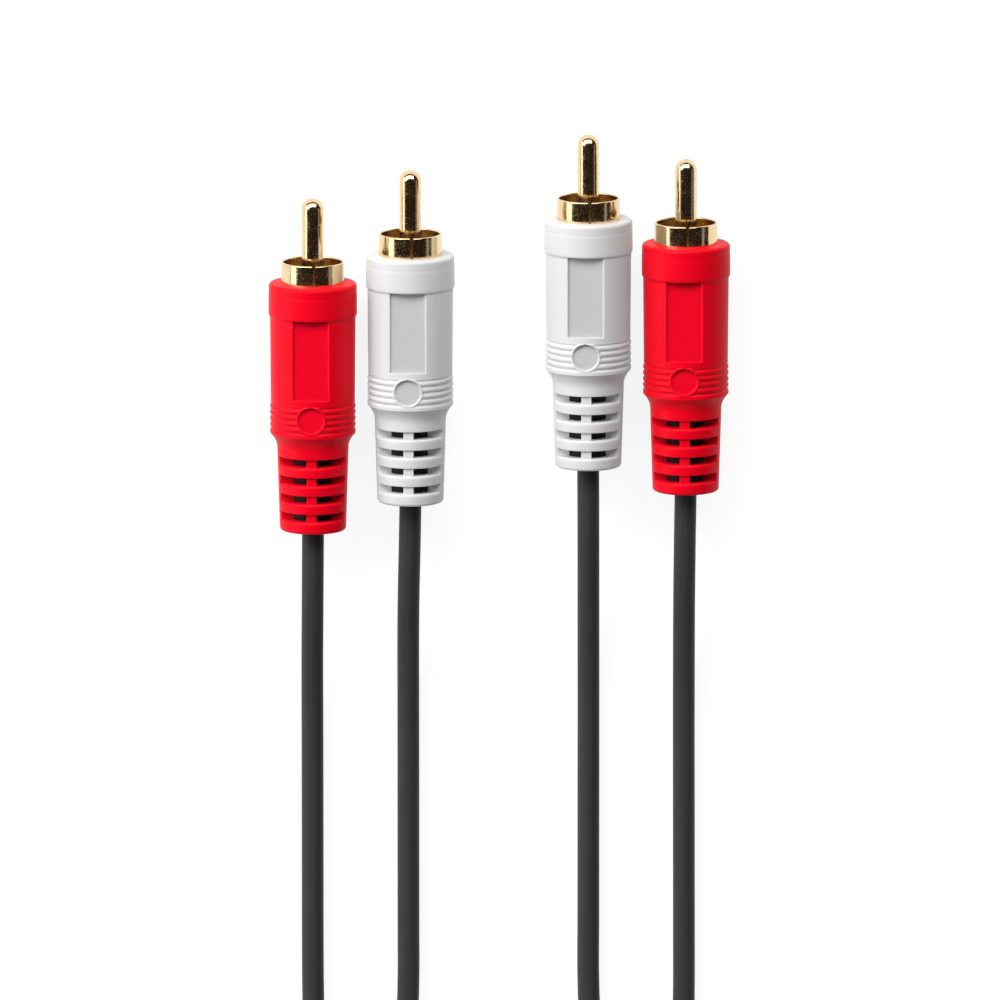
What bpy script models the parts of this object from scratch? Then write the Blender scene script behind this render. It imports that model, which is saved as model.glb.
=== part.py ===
"""Stereo phono lead: four moulded plugs on single cords that join in a coiled twin cord.

Units are metres and +Z is up. The lead lies on a table at z = 0. Each plug points along +Y
and rests on its collar. The origin is the middle of the four plugs' footprint.
"Back" means the distance behind the front face of a plug's boot, along -Y.
"""

import math

import bmesh
import bpy
import numpy as np
from mathutils import Vector

# Fits
CLEAR = 0.0003            # gap that touching pieces keep
CUT_PAST = 0.0006         # how far a cutter runs past the face it opens
WELD = 0.000001           # distance under which points of one piece are merged

# Facets around a full turn
BOOT_FACETS = 20
SHELL_FACETS = 24
PIN_FACETS = 16
WIRE_FACETS = 8
COIL_FACETS = 40
SMOOTH_ANGLE = math.radians(35)

# Cord and its layers
CORD_RADIUS = 0.0016
CONDUCTOR_RADIUS = 0.00035
INSULATION_WALL = 0.0003
INSULATION_RADIUS = CONDUCTOR_RADIUS + CLEAR + INSULATION_WALL
SHIELD_WALL = 0.0003
CORE_GAP = 0.0003         # web between the two cores of the twin stretch

# Outside of the boot
BODY_RADIUS = 0.00622
COLLAR_RISE = 0.00021
COLLAR_RADIUS = BODY_RADIUS + COLLAR_RISE
COLLAR_LENGTH = 0.0047
COLLAR_SLOPE = 0.0004     # length of the slope from collar to body
FRONT_ROUND = 0.0007
BODY_DRAFT = 0.00011      # how much the body narrows towards the grip
BODY_END_RADIUS = BODY_RADIUS - BODY_DRAFT
PANEL_SET_BACK = 0.0001   # panel behind the collar
PANEL_START = COLLAR_LENGTH + PANEL_SET_BACK
PANEL_LENGTH = 0.0118
PANEL_WIDTH = 0.0052
PANEL_DEPTH = 0.00081
PANEL_FLOOR = BODY_END_RADIUS - PANEL_DEPTH      # height of the panel's floor over the axis
PANEL_WALL = 0.0008       # boot wall under the panel
BAND = 0.0009             # plain band between the panel and the grip
GRIP_START = PANEL_START + PANEL_LENGTH + BAND
GRIP_PITCH = 0.0009
GRIP_RIDGES = 5
GRIP_RISE = 0.00011
GRIP_CREST = BODY_END_RADIUS + GRIP_RISE
GRIP_DEPTH = 0.00022
GRIP_VALLEY_PLACE = 0.25  # share of the pitch at which a valley lies
GRIP_CREST_PLACE = 0.7    # share of the pitch at which a crest starts
DOT_RADIUS = 0.0019
DOT_DEPTH = 0.0004
DOT_SET_BACK = 0.00195    # middle of the round dot behind the grip's start
DOT_BACK = GRIP_START + DOT_SET_BACK
GRIP_LAND = 0.0001        # plain land behind the last ridge
SHOULDER_START = GRIP_START + GRIP_RIDGES * GRIP_PITCH + GRIP_LAND
SHOULDER_LENGTH = 0.0022
SHOULDER_DROP = 0.00104   # how far the neck lies inside the grip
SHOULDER_HOLLOW = 0.00077 # how far the shoulder has dropped half way along
NECK_RADIUS = GRIP_CREST - SHOULDER_DROP
TAIL_DRAFT = 0.00036      # how much the strain relief narrows
TAIL_RADIUS = NECK_RADIUS - TAIL_DRAFT
TAIL_ROUND = 0.0006

# Slots of the strain relief
NECK_BAND = 0.001725      # shoulder's end to the middle of the first slot
SLOT_FIRST = SHOULDER_START + SHOULDER_LENGTH + NECK_BAND
SLOT_PITCH = 0.0027
SLOT_COUNT = 4
SLOT_WIDTH = 0.0012
TAIL_RING = 0.001775      # plain ring behind the last slot
BOOT_LENGTH = SLOT_FIRST + (SLOT_COUNT - 1) * SLOT_PITCH + SLOT_WIDTH / 2 + TAIL_RING
SPINE_HALF = 0.0018       # half thickness of the side spines
WEB_WIDTH = 0.00146
WEB_SET_IN = 0.0003       # web below the rings

# Ground shell
SHELL_RADIUS = 0.0046
SHELL_WALL = 0.00035
SHELL_REACH = 0.0031      # bare shell in front of the boot
SHELL_COVER = 0.0005      # collar's end behind the shell's back wall
SHELL_DEPTH = COLLAR_LENGTH - SHELL_COVER
SHELL_FLOOR = 0.0004      # thickness of its back wall
RIM_ROUND = 0.0001
SLIT_WIDTH = 0.0003
SLIT_FLARE_SIDE = 0.0003  # how far each side of the slit's mouth opens
SLIT_FLARE_DEPTH = 0.00035
SLIT_DEPTH = 0.001        # how far the slit runs on inside the boot

# Insulator
INSULATOR_THICK = 0.0023
STEM_WALL = 0.0005
STEM_LENGTH = 0.0016      # stem behind the shell's back wall

# Centre pin
PIN_RADIUS = 0.0016
PIN_REACH = 0.0093        # bare pin in front of the shell's rim
STEM_RADIUS = PIN_RADIUS + CLEAR + STEM_WALL
SHAFT_PAST = 0.0008       # full-width shaft behind the stem
PIN_SHAFT_END = SHELL_DEPTH + STEM_LENGTH + SHAFT_PAST
SOLDER_ROOM = 0.00035     # space round the conductor in the cup
CUP_HOLE_RADIUS = CONDUCTOR_RADIUS + SOLDER_ROOM
CUP_WALL = 0.00055
CUP_RADIUS = CUP_HOLE_RADIUS + CUP_WALL
CUP_LENGTH = 0.0035
CUP_DEPTH = 0.0024
CUP_END = PIN_SHAFT_END + CUP_LENGTH

# Solder strap and crimp claw, in one piece with the shell
STRAP_WIDTH = 0.0026
STRAP_THICK = 0.00045
CLAW_WALL = 0.00045
CLAW_LENGTH = 0.0026
CLAW_OPENING = 0.0012     # gap between the two bent ears
CLAW_SET_BACK = 0.0006    # claw behind the jacket's end
STRAP_BITE = 0.2          # share of the claw's wall left free on each face of the joint

# Inner mould
MOULD_RADIUS = PANEL_FLOOR - PANEL_WALL - CLEAR
MOULD_PAST = 0.0003       # full-width mould behind the shoulder's start
MOULD_BODY_END = SHOULDER_START + MOULD_PAST
MOULD_TAPER = 0.0020
MOULD_NECK_WALL = 0.0013
MOULD_NECK_RADIUS = CORD_RADIUS + CLEAR + MOULD_NECK_WALL
MOULD_TAIL = 0.0012       # boot wall behind the mould
MOULD_END = BOOT_LENGTH - MOULD_TAIL - CLEAR

# Stripped end of the cord, inside the plug
CLAW_BEFORE_TAPER = 0.0002
JACKET_END = MOULD_BODY_END - CLAW_BEFORE_TAPER - CLAW_LENGTH - CLAW_SET_BACK
BARE_WIRE = 0.0023        # bare conductor between the cup and the insulation
INSULATION_END = CUP_END + BARE_WIRE
SHIELD_LENGTH = 0.0032

# Where the plugs lie
PAIR_GAP = 0.001315       # space between the two boots of a pair
MIDDLE_GAP = 0.01299      # space between the pairs
INNER_X = MIDDLE_GAP / 2 + COLLAR_RADIUS
OUTER_X = INNER_X + PAIR_GAP + 2 * COLLAR_RADIUS
PLUGS = [
    # name, colour, x, y of the boot's front face
    ("left_red", "red", -OUTER_X, 0.00735),
    ("left_white", "white", -INNER_X, 0.0115),
    ("right_white", "white", INNER_X, 0.01675),
    ("right_red", "red", OUTER_X, 0.01315),
]
AXIS_HEIGHT = COLLAR_RADIUS

# Tie around the coil
TIE_WIDTH = 0.0040
TIE_THICK = 0.0004

# Coil of twin cord
COIL_Y = -0.184
COIL_RADIUS = 0.034       # middle of the winding
COIL_COLUMNS = 3
COIL_LAYERS = 2
COIL_SLACK = 0.0002       # air between one turn and the next
COIL_SPACING = 2 * CORD_RADIUS + COIL_SLACK
COIL_CHAMFER = 0.0009
TWIN_HALF = CORD_RADIUS + CORE_GAP / 2        # core's axis to the twin's axis
TWIN_WIDTH = 2 * (TWIN_HALF + CORD_RADIUS)
LAYER_SLACK = 0.0001
LAYER_SPACING = TWIN_WIDTH + LAYER_SLACK

# Cord tubes
CORD_STEP = 0.0085        # distance between the tube's points
CORD_SIDES_RESOLUTION = 2
CURVE_FINENESS = 24       # fine points read between two route points

# Route of each single cord on the table, from the boot to the split, chosen by hand
LEG_ROUTES = {
    "left_red": [
        (-0.0271, -0.0360, 0.0062), (-0.0271, -0.0430, 0.0052), (-0.02715, -0.0500, 0.0037),
        (-0.02715, -0.0570, 0.00235), (-0.02715, -0.0640, 0.0017), (-0.02715, -0.0720, 0.0016),
        (-0.0272, -0.0810, 0.0016), (-0.0272, -0.0900, 0.0016), (-0.0272, -0.0990, 0.0016),
        (-0.0270, -0.1060, 0.0016), (-0.0263, -0.1125, 0.0016), (-0.0256, -0.1185, 0.0016),
        (-0.0255, -0.1225, 0.0016),
    ],
    "left_white": [
        (-0.0129, -0.0320, 0.0062), (-0.0129, -0.0390, 0.0052), (-0.0130, -0.0460, 0.0037),
        (-0.0130, -0.0530, 0.00235), (-0.0131, -0.0600, 0.0017), (-0.0131, -0.0700, 0.0016),
        (-0.0132, -0.0800, 0.0016), (-0.0132, -0.0900, 0.0016), (-0.01325, -0.0990, 0.0016),
        (-0.0140, -0.1050, 0.0016), (-0.0160, -0.1105, 0.0016), (-0.0186, -0.1160, 0.0016),
        (-0.0209, -0.1215, 0.0016),
    ],
    "right_white": [
        (0.0129, -0.0267, 0.0062), (0.0129, -0.0337, 0.0052), (0.0129, -0.0407, 0.0037),
        (0.0129, -0.0477, 0.00235), (0.0128, -0.0547, 0.0017), (0.0128, -0.0650, 0.0016),
        (0.0127, -0.0770, 0.0016), (0.0127, -0.0880, 0.0016), (0.01265, -0.0990, 0.0016),
        (0.0135, -0.1050, 0.0016), (0.0157, -0.1105, 0.0016), (0.0184, -0.1160, 0.0016),
        (0.0208, -0.1215, 0.0016),
    ],
    "right_red": [
        (0.0271, -0.0303, 0.0062), (0.0271, -0.0373, 0.0052), (0.0270, -0.0443, 0.0037),
        (0.0270, -0.0513, 0.00235), (0.0269, -0.0583, 0.0017), (0.0269, -0.0680, 0.0016),
        (0.0269, -0.0780, 0.0016), (0.02685, -0.0885, 0.0016), (0.02685, -0.0990, 0.0016),
        (0.0267, -0.1060, 0.0016), (0.0261, -0.1125, 0.0016), (0.0255, -0.1185, 0.0016),
        (0.0255, -0.1225, 0.0016),
    ],
}

# Route of the twin cord between the split and the coil: x, y, z, and how far it has
# turned from lying flat (0) to standing on edge (90 degrees)
TWIN_ROUTES = {
    "left": [
        (-0.0245, -0.1270, 0.00160, 0), (-0.0264, -0.1348, 0.00235, 22), (-0.0283, -0.1425, 0.0032, 55),
        (-0.0302, -0.1503, 0.0037, 80), (-0.0324, -0.1590, 0.0039, 90),
    ],
    "right": [
        (0.0245, -0.1270, 0.00160, 0), (0.0258, -0.1323, 0.0022, 14), (0.0271, -0.1377, 0.0034, 36),
        (0.0286, -0.1438, 0.0060, 64), (0.0303, -0.1506, 0.0090, 84), (0.0324, -0.1590, 0.01065, 90),
    ],
}

COLOURS = {
    "red": ((0.90, 0.01, 0.02, 1), 0.38, 0.0),
    "white": ((0.88, 0.88, 0.88, 1), 0.38, 0.0),
    "black": ((0.012, 0.012, 0.013, 1), 0.5, 0.0),
    "gold": ((0.83, 0.60, 0.27, 1), 0.16, 1.0),
    "bush": ((0.80, 0.78, 0.72, 1), 0.45, 0.0),
    "copper": ((0.80, 0.36, 0.20, 1), 0.35, 1.0),
    "dielectric": ((0.85, 0.85, 0.80, 1), 0.5, 0.0),
    "cord": ((0.045, 0.045, 0.048, 1), 0.5, 0.0),
    "tie": ((0.02, 0.02, 0.02, 1), 0.55, 0.0),
}


def material(name, colour):
    """A Principled material of its own for one piece."""
    base, roughness, metallic = COLOURS[colour]
    made = bpy.data.materials.new(name + "_finish")
    made.use_nodes = True
    shader = made.node_tree.nodes["Principled BSDF"]
    shader.inputs["Base Color"].default_value = base
    shader.inputs["Roughness"].default_value = roughness
    shader.inputs["Metallic"].default_value = metallic
    made.diffuse_color = base
    return made


def add_object(name, mesh, place=(0, 0, 0), colour=None):
    """Put a mesh in the scene, with its material if it is a piece of the lead."""
    made = bpy.data.objects.new(name, mesh)
    made.location = place
    bpy.context.collection.objects.link(made)
    if colour:
        mesh.materials.append(material(name, colour))
        mesh.shade_smooth()
        mesh.set_sharp_from_angle(angle=SMOOTH_ANGLE)
    return made


def turned(name, profile, facets, closed, axis="Y"):
    """Turn a profile into a solid.

    About Y a profile point is (distance back, radius); about Z it is (height, radius).
    An open profile starts and ends on the axis. A closed one is a ring's section.
    """
    form = bmesh.new()
    if axis == "Y":
        points = [form.verts.new((0, -along, radius)) for along, radius in profile]
        line = (0, 1, 0)
    else:
        points = [form.verts.new((radius, 0, along)) for along, radius in profile]
        line = (0, 0, 1)
    pairs = list(zip(points, points[1:]))
    if closed:
        pairs.append((points[-1], points[0]))
    edges = [form.edges.new(pair) for pair in pairs]
    bmesh.ops.spin(form, geom=points + edges, cent=(0, 0, 0), axis=line, angle=math.tau, steps=facets)
    bmesh.ops.remove_doubles(form, verts=form.verts, dist=WELD)
    bmesh.ops.recalc_face_normals(form, faces=form.faces)
    mesh = bpy.data.meshes.new(name)
    form.to_mesh(mesh)
    form.free()
    return mesh


def tube_profile(start, end, outer, inner):
    """Section of a plain tube between two distances back."""
    return [(start, inner), (start, outer), (end, outer), (end, inner)]


def prism(name, outline, plane, low, high):
    """Extrude an outline; plane says which two axes the outline's numbers are on."""
    order = {"XZ": (0, 2, 1), "XY": (0, 1, 2), "YZ": (1, 2, 0)}[plane]
    form = bmesh.new()
    base = []
    for first, second in outline:
        spot = [0, 0, 0]
        spot[order[0]] = first
        spot[order[1]] = second
        spot[order[2]] = low
        base.append(form.verts.new(spot))
    face = form.faces.new(base)
    grown = bmesh.ops.extrude_face_region(form, geom=[face])["geom"]
    raised = [item for item in grown if isinstance(item, bmesh.types.BMVert)]
    rise = Vector((0, 0, 0))
    rise[order[2]] = high - low
    bmesh.ops.translate(form, verts=raised, vec=rise)
    bmesh.ops.recalc_face_normals(form, faces=form.faces)
    mesh = bpy.data.meshes.new(name)
    form.to_mesh(mesh)
    form.free()
    return mesh


def rectangle(low_a, high_a, low_b, high_b):
    """Corner points of a rectangle."""
    return [(low_a, low_b), (high_a, low_b), (high_a, high_b), (low_a, high_b)]


def tool(owner, name, mesh, operation="DIFFERENCE"):
    """Add a live Boolean to a piece, with its hidden cutter or the shape joined to it."""
    cutter = add_object(name, mesh, owner.location)
    cutter.hide_render = True
    cutter.display_type = "WIRE"
    step = owner.modifiers.new(name, "BOOLEAN")
    step.operation = operation
    step.object = cutter
    step.solver = "EXACT"
    return cutter


def boot_outside():
    """Outer profile of the boot, from the front face to the tail's end face."""
    lean = math.sin(math.radians(45)) * FRONT_ROUND
    tail_lean = (1 - math.sin(math.radians(45))) * TAIL_ROUND
    profile = [
        (0, COLLAR_RADIUS - FRONT_ROUND),
        (FRONT_ROUND - lean, COLLAR_RADIUS - FRONT_ROUND + lean),
        (FRONT_ROUND, COLLAR_RADIUS),
        (COLLAR_LENGTH, COLLAR_RADIUS),
        (COLLAR_LENGTH + COLLAR_SLOPE, BODY_RADIUS),
        (GRIP_START, BODY_END_RADIUS),
    ]
    for ridge in range(GRIP_RIDGES):
        start = GRIP_START + ridge * GRIP_PITCH
        profile.append((start + GRIP_PITCH * GRIP_VALLEY_PLACE, GRIP_CREST - GRIP_DEPTH))
        profile.append((start + GRIP_PITCH * GRIP_CREST_PLACE, GRIP_CREST))
    profile += [
        (SHOULDER_START, GRIP_CREST),
        (SHOULDER_START + SHOULDER_LENGTH / 2, GRIP_CREST - SHOULDER_HOLLOW),
        (SHOULDER_START + SHOULDER_LENGTH, NECK_RADIUS),
        (BOOT_LENGTH - TAIL_ROUND, TAIL_RADIUS),
        (BOOT_LENGTH - tail_lean, TAIL_RADIUS - tail_lean),
        (BOOT_LENGTH, TAIL_RADIUS - TAIL_ROUND),
    ]
    return profile


def boot_inside():
    """Inner profile of the boot, from the cord's hole back to the shell's seat."""
    return [
        (BOOT_LENGTH, CORD_RADIUS + CLEAR),
        (MOULD_END + CLEAR, CORD_RADIUS + CLEAR),
        (MOULD_END + CLEAR, MOULD_NECK_RADIUS + CLEAR),
        (MOULD_BODY_END + MOULD_TAPER, MOULD_NECK_RADIUS + CLEAR),
        (MOULD_BODY_END, MOULD_RADIUS + CLEAR),
        (SHELL_DEPTH + CLEAR, MOULD_RADIUS + CLEAR),
        (SHELL_DEPTH + CLEAR, SHELL_RADIUS + CLEAR),
        (0, SHELL_RADIUS + CLEAR),
    ]


def slot_outline(side):
    """Section of a slot: open outwards, floor at the spine, stepping up over the web."""
    wide = COLLAR_RADIUS + CUT_PAST
    web_top = TAIL_RADIUS - WEB_SET_IN
    half_web = WEB_WIDTH / 2
    outline = [
        (-wide, SPINE_HALF), (-half_web, SPINE_HALF), (-half_web, web_top), (half_web, web_top),
        (half_web, SPINE_HALF), (wide, SPINE_HALF), (wide, wide), (-wide, wide),
    ]
    return [(across, side * height) for across, height in outline]


def make_boot(name, colour, place):
    """The coloured overmould, with its panel, dot and strain-relief slots cut in."""
    boot = add_object(name + "_boot",
                      turned(name + "_boot", boot_outside() + boot_inside(), BOOT_FACETS, True),
                      place, colour)
    top = COLLAR_RADIUS + CUT_PAST
    panel = prism(name + "_panel_cut",
                  rectangle(-PANEL_WIDTH / 2, PANEL_WIDTH / 2, -PANEL_START - PANEL_LENGTH, -PANEL_START),
                  "XY", PANEL_FLOOR, top)
    tool(boot, name + "_panel_cut", panel)
    dot_rim = [(DOT_RADIUS * math.sin(turn), -DOT_BACK + DOT_RADIUS * math.cos(turn))
               for turn in (math.tau * step / BOOT_FACETS for step in range(BOOT_FACETS))]
    dot = prism(name + "_dot_cut", dot_rim, "XY", BODY_END_RADIUS - DOT_DEPTH, top)
    tool(boot, name + "_dot_cut", dot)
    for number in range(SLOT_COUNT):
        middle = -SLOT_FIRST - number * SLOT_PITCH
        for side, face in ((1, "front"), (-1, "back")):
            label = f"{name}_slot_{face}_{number + 1}"
            cut = prism(label, slot_outline(side), "XZ", middle - SLOT_WIDTH / 2, middle + SLOT_WIDTH / 2)
            tool(boot, label, cut)
    return boot


def make_mould(name, place):
    """The black first moulding: round, necked for the strain relief, bored for the cord."""
    start = SHELL_DEPTH + CLEAR
    claw_end = JACKET_END + CLAW_SET_BACK + CLAW_LENGTH + CLEAR
    bore = max(STEM_RADIUS, CORD_RADIUS + CLEAR + CLAW_WALL) + CLEAR
    profile = [
        (start, bore), (start, MOULD_RADIUS),
        (MOULD_BODY_END, MOULD_RADIUS), (MOULD_BODY_END + MOULD_TAPER, MOULD_NECK_RADIUS),
        (MOULD_END, MOULD_NECK_RADIUS), (MOULD_END, CORD_RADIUS + CLEAR),
        (claw_end, CORD_RADIUS + CLEAR), (claw_end, bore),
    ]
    mould = add_object(name + "_inner_mould",
                       turned(name + "_inner_mould", profile, PIN_FACETS, True), place, "black")
    half = STRAP_WIDTH / 2 + CLEAR
    deep = STEM_RADIUS + CLEAR + STRAP_THICK + CLEAR
    channel = prism(name + "_strap_channel",
                    rectangle(-half, half, -claw_end, -start + CUT_PAST), "XY", -deep, 0)
    tool(mould, name + "_strap_channel", channel)
    return mould


def strap_outline():
    """Side view of the solder strap: back from the shell's floor, then in towards the claw."""
    top = -(STEM_RADIUS + CLEAR)
    low = -(CORD_RADIUS + CLEAR)
    start = -(SHELL_DEPTH - SHELL_FLOOR / 2)
    bend = -CUP_END
    claw = -(JACKET_END + CLAW_SET_BACK)
    tip = claw - CLAW_LENGTH / 2
    return [
        (start, top), (bend, top), (claw, low - CLAW_WALL * STRAP_BITE),
        (tip, low - CLAW_WALL * STRAP_BITE),
        (tip, low - CLAW_WALL * (1 - STRAP_BITE)), (claw, low - STRAP_THICK),
        (bend, top - STRAP_THICK), (start, top - STRAP_THICK),
    ]


def make_shell(name, place):
    """The gold-plated shell: slit ring, back wall, solder strap and crimp claw in one piece."""
    inner = SHELL_RADIUS - SHELL_WALL
    rim = -SHELL_REACH
    hole = STEM_RADIUS + CLEAR
    profile = [
        (rim + RIM_ROUND, SHELL_RADIUS), (SHELL_DEPTH, SHELL_RADIUS), (SHELL_DEPTH, hole),
        (SHELL_DEPTH - SHELL_FLOOR, hole), (SHELL_DEPTH - SHELL_FLOOR, inner),
        (rim + RIM_ROUND, inner), (rim, inner + RIM_ROUND), (rim, SHELL_RADIUS - RIM_ROUND),
    ]
    shell = add_object(name + "_ground_shell",
                       turned(name + "_ground_shell", profile, SHELL_FACETS, True), place, "gold")
    strap = prism(name + "_strap", strap_outline(), "YZ", -STRAP_WIDTH / 2, STRAP_WIDTH / 2)
    tool(shell, name + "_strap", strap, "UNION")
    claw_start = JACKET_END + CLAW_SET_BACK
    claw_inner = CORD_RADIUS + CLEAR
    claw = turned(name + "_claw",
                  tube_profile(claw_start, claw_start + CLAW_LENGTH, claw_inner + CLAW_WALL, claw_inner),
                  PIN_FACETS, True)
    tool(shell, name + "_claw", claw, "UNION")
    mouth = prism(name + "_claw_mouth",
                  rectangle(-CLAW_OPENING / 2, CLAW_OPENING / 2, -claw_start - CLAW_LENGTH - CUT_PAST,
                            -claw_start + CUT_PAST),
                  "XY", 0, claw_inner + CLAW_WALL + CUT_PAST)
    tool(shell, name + "_claw_mouth", mouth)
    front = -rim + CUT_PAST
    half = SLIT_WIDTH / 2
    flare = half + SLIT_FLARE_SIDE
    slit = [
        (-half, -SLIT_DEPTH), (half, -SLIT_DEPTH), (half, -rim - SLIT_FLARE_DEPTH), (flare, -rim),
        (flare, front), (-flare, front), (-flare, -rim), (-half, -rim - SLIT_FLARE_DEPTH),
    ]
    tool(shell, name + "_slit", prism(name + "_slit", slit, "XY", inner - CUT_PAST, SHELL_RADIUS + CUT_PAST))
    return shell


def make_insulator(name, place):
    """The bush that holds the pin in the shell: a disc with a stem through the back wall."""
    disc = SHELL_RADIUS - SHELL_WALL - CLEAR
    seat = SHELL_DEPTH - SHELL_FLOOR - CLEAR
    end = SHELL_DEPTH + STEM_LENGTH
    bore = PIN_RADIUS + CLEAR
    profile = [
        (seat - INSULATOR_THICK, bore), (seat - INSULATOR_THICK, disc), (seat, disc), (seat, STEM_RADIUS),
        (end, STEM_RADIUS), (end, bore),
    ]
    return add_object(name + "_insulator", turned(name + "_insulator", profile, PIN_FACETS, True),
                      place, "bush")


def make_pin(name, place):
    """The centre pin: round tip, straight shaft and a solder cup at the back."""
    tip = -SHELL_REACH - PIN_REACH
    profile = [(tip, 0)]
    for angle in (30, 60, 90):
        turn = math.radians(angle)
        profile.append((tip + PIN_RADIUS * (1 - math.cos(turn)), PIN_RADIUS * math.sin(turn)))
    profile += [
        (PIN_SHAFT_END, PIN_RADIUS), (PIN_SHAFT_END, CUP_RADIUS), (CUP_END, CUP_RADIUS),
        (CUP_END, CUP_HOLE_RADIUS), (CUP_END - CUP_DEPTH, CUP_HOLE_RADIUS), (CUP_END - CUP_DEPTH, 0),
    ]
    return add_object(name + "_centre_pin", turned(name + "_centre_pin", profile, PIN_FACETS, False),
                      place, "gold")


def make_stripped_end(name, place):
    """Conductor, insulation and shield strands where the cord is stripped inside the plug."""
    stop = JACKET_END - CLEAR
    tip = CUP_END - CUP_DEPTH + CLEAR
    wire = [(tip, 0), (tip, CONDUCTOR_RADIUS), (stop, CONDUCTOR_RADIUS), (stop, 0)]
    add_object(name + "_core_conductor", turned(name + "_core_conductor", wire, WIRE_FACETS, False),
               place, "copper")
    sleeve = tube_profile(INSULATION_END, stop, INSULATION_RADIUS, CONDUCTOR_RADIUS + CLEAR)
    add_object(name + "_core_insulation", turned(name + "_core_insulation", sleeve, WIRE_FACETS, True),
               place, "dielectric")
    inner = INSULATION_RADIUS + CLEAR
    strands = tube_profile(stop - SHIELD_LENGTH, stop, inner + SHIELD_WALL, inner)
    add_object(name + "_shield_wires", turned(name + "_shield_wires", strands, WIRE_FACETS, True),
               place, "copper")


def smooth_curve(points):
    """Fine points on a centripetal Catmull-Rom curve through the given points."""
    spots = np.array(points, dtype=float)
    ends = np.vstack([2 * spots[0] - spots[1], spots, 2 * spots[-1] - spots[-2]])
    fine = []
    for before, start, end, after in zip(ends, ends[1:], ends[2:], ends[3:]):
        gaps = [math.sqrt(np.linalg.norm(b - a)) for a, b in ((before, start), (start, end), (end, after))]
        knots = np.concatenate([[0], np.cumsum(gaps)])
        for t in np.linspace(knots[1], knots[2], CURVE_FINENESS, endpoint=False):
            first = [blend(a, b, knots[i], knots[i + 1], t)
                     for i, (a, b) in enumerate(((before, start), (start, end), (end, after)))]
            second = [blend(first[0], first[1], knots[0], knots[2], t),
                      blend(first[1], first[2], knots[1], knots[3], t)]
            fine.append(blend(second[0], second[1], knots[1], knots[2], t))
    fine.append(spots[-1])
    return np.array(fine)


def blend(a, b, low, high, t):
    """Point between a and b as t goes from low to high."""
    return ((high - t) * a + (t - low) * b) / (high - low)


def even_points(curve, step):
    """Points about a step apart along a fine curve, both ends kept."""
    lengths = np.concatenate([[0], np.cumsum(np.linalg.norm(np.diff(curve, axis=0), axis=1))])
    marks = np.linspace(0, lengths[-1], max(2, round(lengths[-1] / step) + 1))
    return np.stack([np.interp(marks, lengths, curve[:, axis]) for axis in range(3)], axis=1)


def core_points(side, colour):
    """Where one core of the twin runs: the red core outside, then above; the white one opposite."""
    route = TWIN_ROUTES[side]
    outward = -1 if side == "left" else 1
    sign = 1 if colour == "red" else -1
    points = []
    for number, (x, y, z, turned_by) in enumerate(route):
        ahead = route[min(number + 1, len(route) - 1)]
        behind = route[max(number - 1, 0)]
        along = Vector((ahead[0] - behind[0], ahead[1] - behind[1])).normalized()
        across = Vector((along.y, -along.x))
        if across.x * outward < 0:
            across.negate()
        turn = math.radians(turned_by)
        points.append((
            x + sign * TWIN_HALF * math.cos(turn) * across.x,
            y + sign * TWIN_HALF * math.cos(turn) * across.y,
            z + sign * TWIN_HALF * math.sin(turn),
        ))
    return points


def make_cord(name, colour, x, front):
    """One single cord: from the stripped end inside the plug to the coil."""
    side = name.split("_")[0]
    inside = [(x, front - JACKET_END, AXIS_HEIGHT), (x, front - BOOT_LENGTH, AXIS_HEIGHT)]
    route = inside + LEG_ROUTES[name] + core_points(side, colour)
    points = even_points(smooth_curve(route), CORD_STEP)
    curve = bpy.data.curves.new(name + "_lead", "CURVE")
    curve.dimensions = "3D"
    curve.bevel_depth = CORD_RADIUS
    curve.bevel_resolution = CORD_SIDES_RESOLUTION
    curve.use_fill_caps = True
    spline = curve.splines.new("POLY")
    spline.points.add(len(points) - 1)
    for spot, (px, py, pz) in zip(spline.points, points):
        spot.co = (px, py, pz, 1)
    curve.materials.append(material(name + "_lead", "cord"))
    made = bpy.data.objects.new(name + "_lead", curve)
    bpy.context.collection.objects.link(made)
    return made


def coil_section():
    """Low and high radius, and low and high z, of the coil's section."""
    spread = (COIL_COLUMNS - 1) / 2 * COIL_SPACING + CORD_RADIUS
    bottom = TIE_THICK + CLEAR
    height = (COIL_LAYERS - 1) * LAYER_SPACING + TWIN_WIDTH
    return COIL_RADIUS - spread, COIL_RADIUS + spread, bottom, bottom + height


def make_coil():
    """The outer shape of the wound twin cord: a ring with softened edges."""
    inner, outer, bottom, top = coil_section()
    cut = COIL_CHAMFER
    profile = [
        (bottom + cut, outer), (bottom, outer - cut), (bottom, inner + cut), (bottom + cut, inner),
        (top - cut, inner), (top, inner + cut), (top, outer - cut), (top - cut, outer),
    ]
    return add_object("lead_coil", turned("lead_coil", profile, COIL_FACETS, True, axis="Z"),
                      (0, COIL_Y, 0), "cord")


def make_tie():
    """The tie around the coil at its far side, closed round the winding."""
    inner, outer, bottom, top = coil_section()
    near = -inner + CLEAR
    far = -outer - CLEAR
    outside = rectangle(far - TIE_THICK, near + TIE_THICK, 0, top + CLEAR + TIE_THICK)
    tie = add_object("coil_tie", prism("coil_tie", outside, "YZ", -TIE_WIDTH / 2, TIE_WIDTH / 2),
                     (0, COIL_Y, 0), "tie")
    hole = rectangle(far, near, bottom - CLEAR, top + CLEAR)
    wide = TIE_WIDTH / 2 + CUT_PAST
    tool(tie, "coil_tie_hole", prism("coil_tie_hole", hole, "YZ", -wide, wide))
    return tie


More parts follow.
